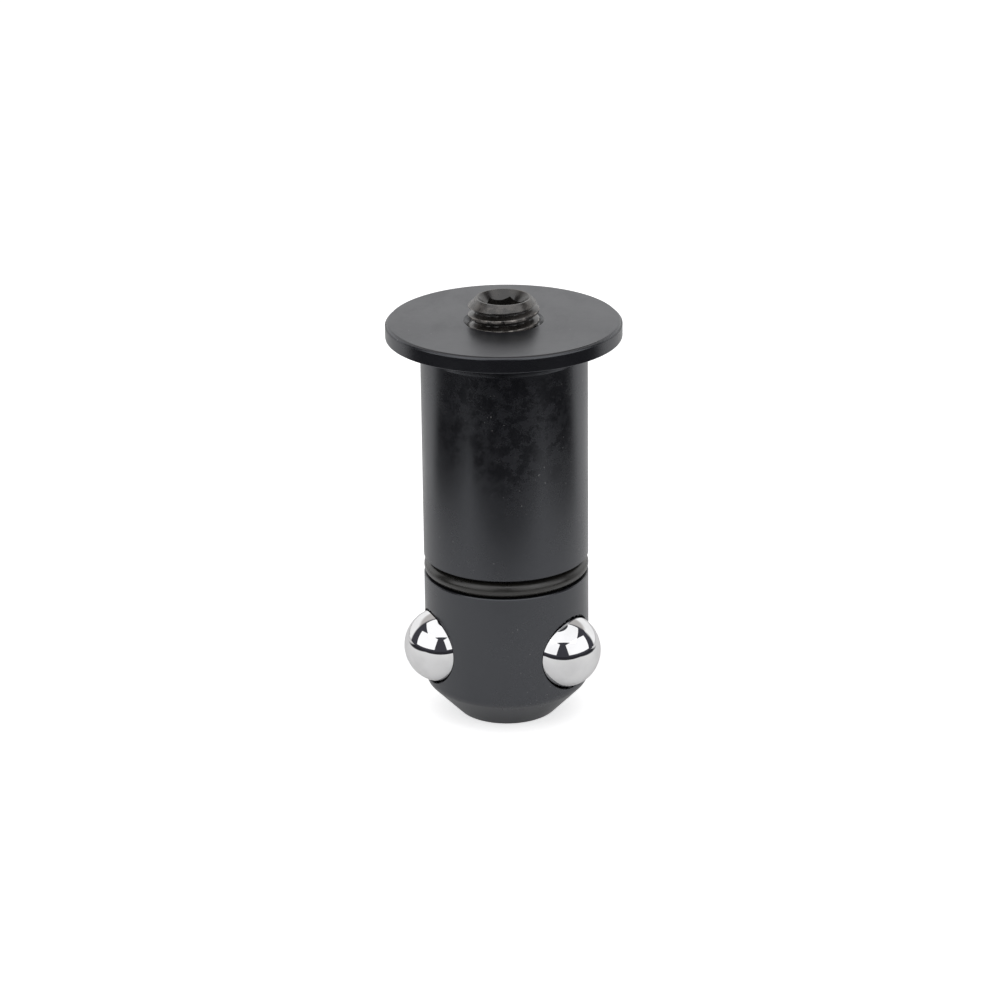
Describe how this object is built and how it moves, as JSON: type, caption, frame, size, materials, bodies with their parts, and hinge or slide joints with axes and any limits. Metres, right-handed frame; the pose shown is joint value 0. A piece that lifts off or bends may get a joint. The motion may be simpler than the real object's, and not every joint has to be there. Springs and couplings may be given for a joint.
{
  "type": "ball lock pin",
  "caption": "Flanged clamping pin with a hex socket set screw that spreads radial locking balls near the nose, and an O-ring on the shank.",
  "frame": {"origin": "centre of the nose flat, on the shank's axis", "axes": "+Z along the shank from the nose to the flange, +Y towards locking ball 1"},
  "size_m": [0.0394, 0.0394, 0.0737],
  "materials": {
    "black_oxide_steel": "satin black oxide",
    "black_rubber": "satin",
    "hardened_steel": "ground",
    "worn_black_steel": "oiled black with worn crests",
    "bearing_steel": "polished"
  },
  "bodies": {
    "pin": {"pin_body": "black_oxide_steel", "o_ring": "black_rubber", "nose_plug": "black_oxide_steel"},
    "plunger": {"spreader_cone": "hardened_steel"},
    "screw": {"set_screw": "worn_black_steel"},
    "ball_1": {"locking_ball_1": "bearing_steel"},
    "ball_2": {"locking_ball_2": "bearing_steel"},
    "ball_3": {"locking_ball_3": "bearing_steel"}
  },
  "joints": [
    {"name": "plunger_travel", "type": "slide", "parent": "pin", "child": "plunger", "axis": [0, 0, 1], "range_m": [0, 0.00771]},
    {"name": "screw_turn", "type": "hinge", "parent": "plunger", "child": "screw", "pos_m": [0, 0, 0.0437], "axis": [0, 0, 1], "range_deg": [0, 1585.8]},
    {"name": "ball_1_travel", "type": "slide", "parent": "pin", "child": "ball_1", "axis": [0, 1, 0], "range_m": [-0.00445, 0]},
    {"name": "ball_2_travel", "type": "slide", "parent": "pin", "child": "ball_2", "axis": [-0.866, -0.5, 0], "range_m": [-0.00445, 0]},
    {"name": "ball_3_travel", "type": "slide", "parent": "pin", "child": "ball_3", "axis": [0.866, -0.5, 0], "range_m": [-0.00445, 0]}
  ],
  "couplings": [
    {"joint": "screw_turn", "follows": "plunger_travel", "rad_per_m": 3590.4},
    {"joint": "ball_1_travel", "follows": "plunger_travel", "ratio": -0.57735},
    {"joint": "ball_2_travel", "follows": "plunger_travel", "ratio": -0.57735},
    {"joint": "ball_3_travel", "follows": "plunger_travel", "ratio": -0.57735}
  ]
}
